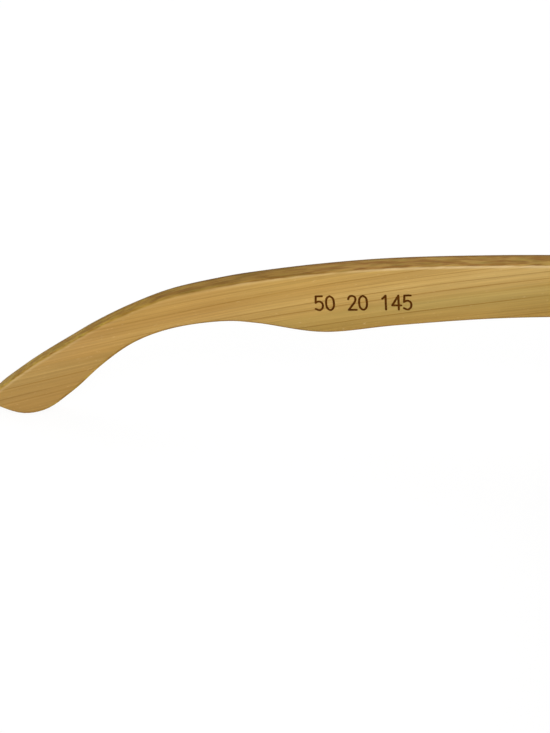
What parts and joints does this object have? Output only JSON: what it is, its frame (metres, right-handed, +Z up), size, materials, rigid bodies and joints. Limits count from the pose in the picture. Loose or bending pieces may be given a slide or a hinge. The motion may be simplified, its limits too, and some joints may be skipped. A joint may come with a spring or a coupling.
{
  "type": "wooden sunglasses",
  "caption": "Bamboo sunglasses with tinted bent lenses, glued nose pads and temples that fold on screwed spring hinges.",
  "frame": {"origin": "middle of the footprint, on the table that the rims and the ear tips stand on", "axes": "+Z up, the front looks towards -Y, the temples run towards +Y, the wearer's left is +X"},
  "size_m": [0.144, 0.1592, 0.0483],
  "materials": {
    "bamboo": "satin",
    "bamboo_pad": "satin",
    "lens": "gloss",
    "hinge_metal": "satin",
    "steel": "satin"
  },
  "bodies": {
    "front": {"front_frame": "bamboo", "left_lens": "lens", "left_nose_pad": "bamboo_pad", "left_front_hinge_leaf": "hinge_metal", "left_front_leaf_screws": "steel", "left_hinge_screw": "steel", "right_lens": "lens", "right_nose_pad": "bamboo_pad", "right_front_hinge_leaf": "hinge_metal", "right_front_leaf_screws": "steel", "right_hinge_screw": "steel"},
    "left_slider": {"left_hinge_slider": "hinge_metal", "left_rod_nut": "steel"},
    "left_arm": {"left_temple": "bamboo", "left_spring_housing": "hinge_metal", "left_housing_screws": "steel", "left_spring_bush": "hinge_metal", "left_flex_spring": "steel"},
    "right_slider": {"right_hinge_slider": "hinge_metal", "right_rod_nut": "steel"},
    "right_arm": {"right_temple": "bamboo", "right_spring_housing": "hinge_metal", "right_housing_screws": "steel", "right_spring_bush": "hinge_metal", "right_flex_spring": "steel"}
  },
  "joints": [
    {"name": "left_temple_fold", "type": "hinge", "parent": "front", "child": "left_slider", "pos_m": [0.0658, -0.05942, 0.03776], "axis": [0, 0.0872, 0.9962], "range_deg": [0, 90]},
    {"name": "left_temple_flex", "type": "slide", "parent": "left_slider", "child": "left_arm", "axis": [0, 0.9962, -0.0872], "range_m": [0, 0.001], "stiffness_N_per_m": 4000, "springref_m": -0.001, "deforming": ["left_flex_spring"]},
    {"name": "right_temple_fold", "type": "hinge", "parent": "front", "child": "right_slider", "pos_m": [-0.0658, -0.05942, 0.03776], "axis": [0, -0.0872, -0.9962], "range_deg": [0, 85]},
    {"name": "right_temple_flex", "type": "slide", "parent": "right_slider", "child": "right_arm", "axis": [0, 0.9962, -0.0872], "range_m": [0, 0.001], "stiffness_N_per_m": 4000, "springref_m": -0.001, "deforming": ["right_flex_spring"]}
  ]
}
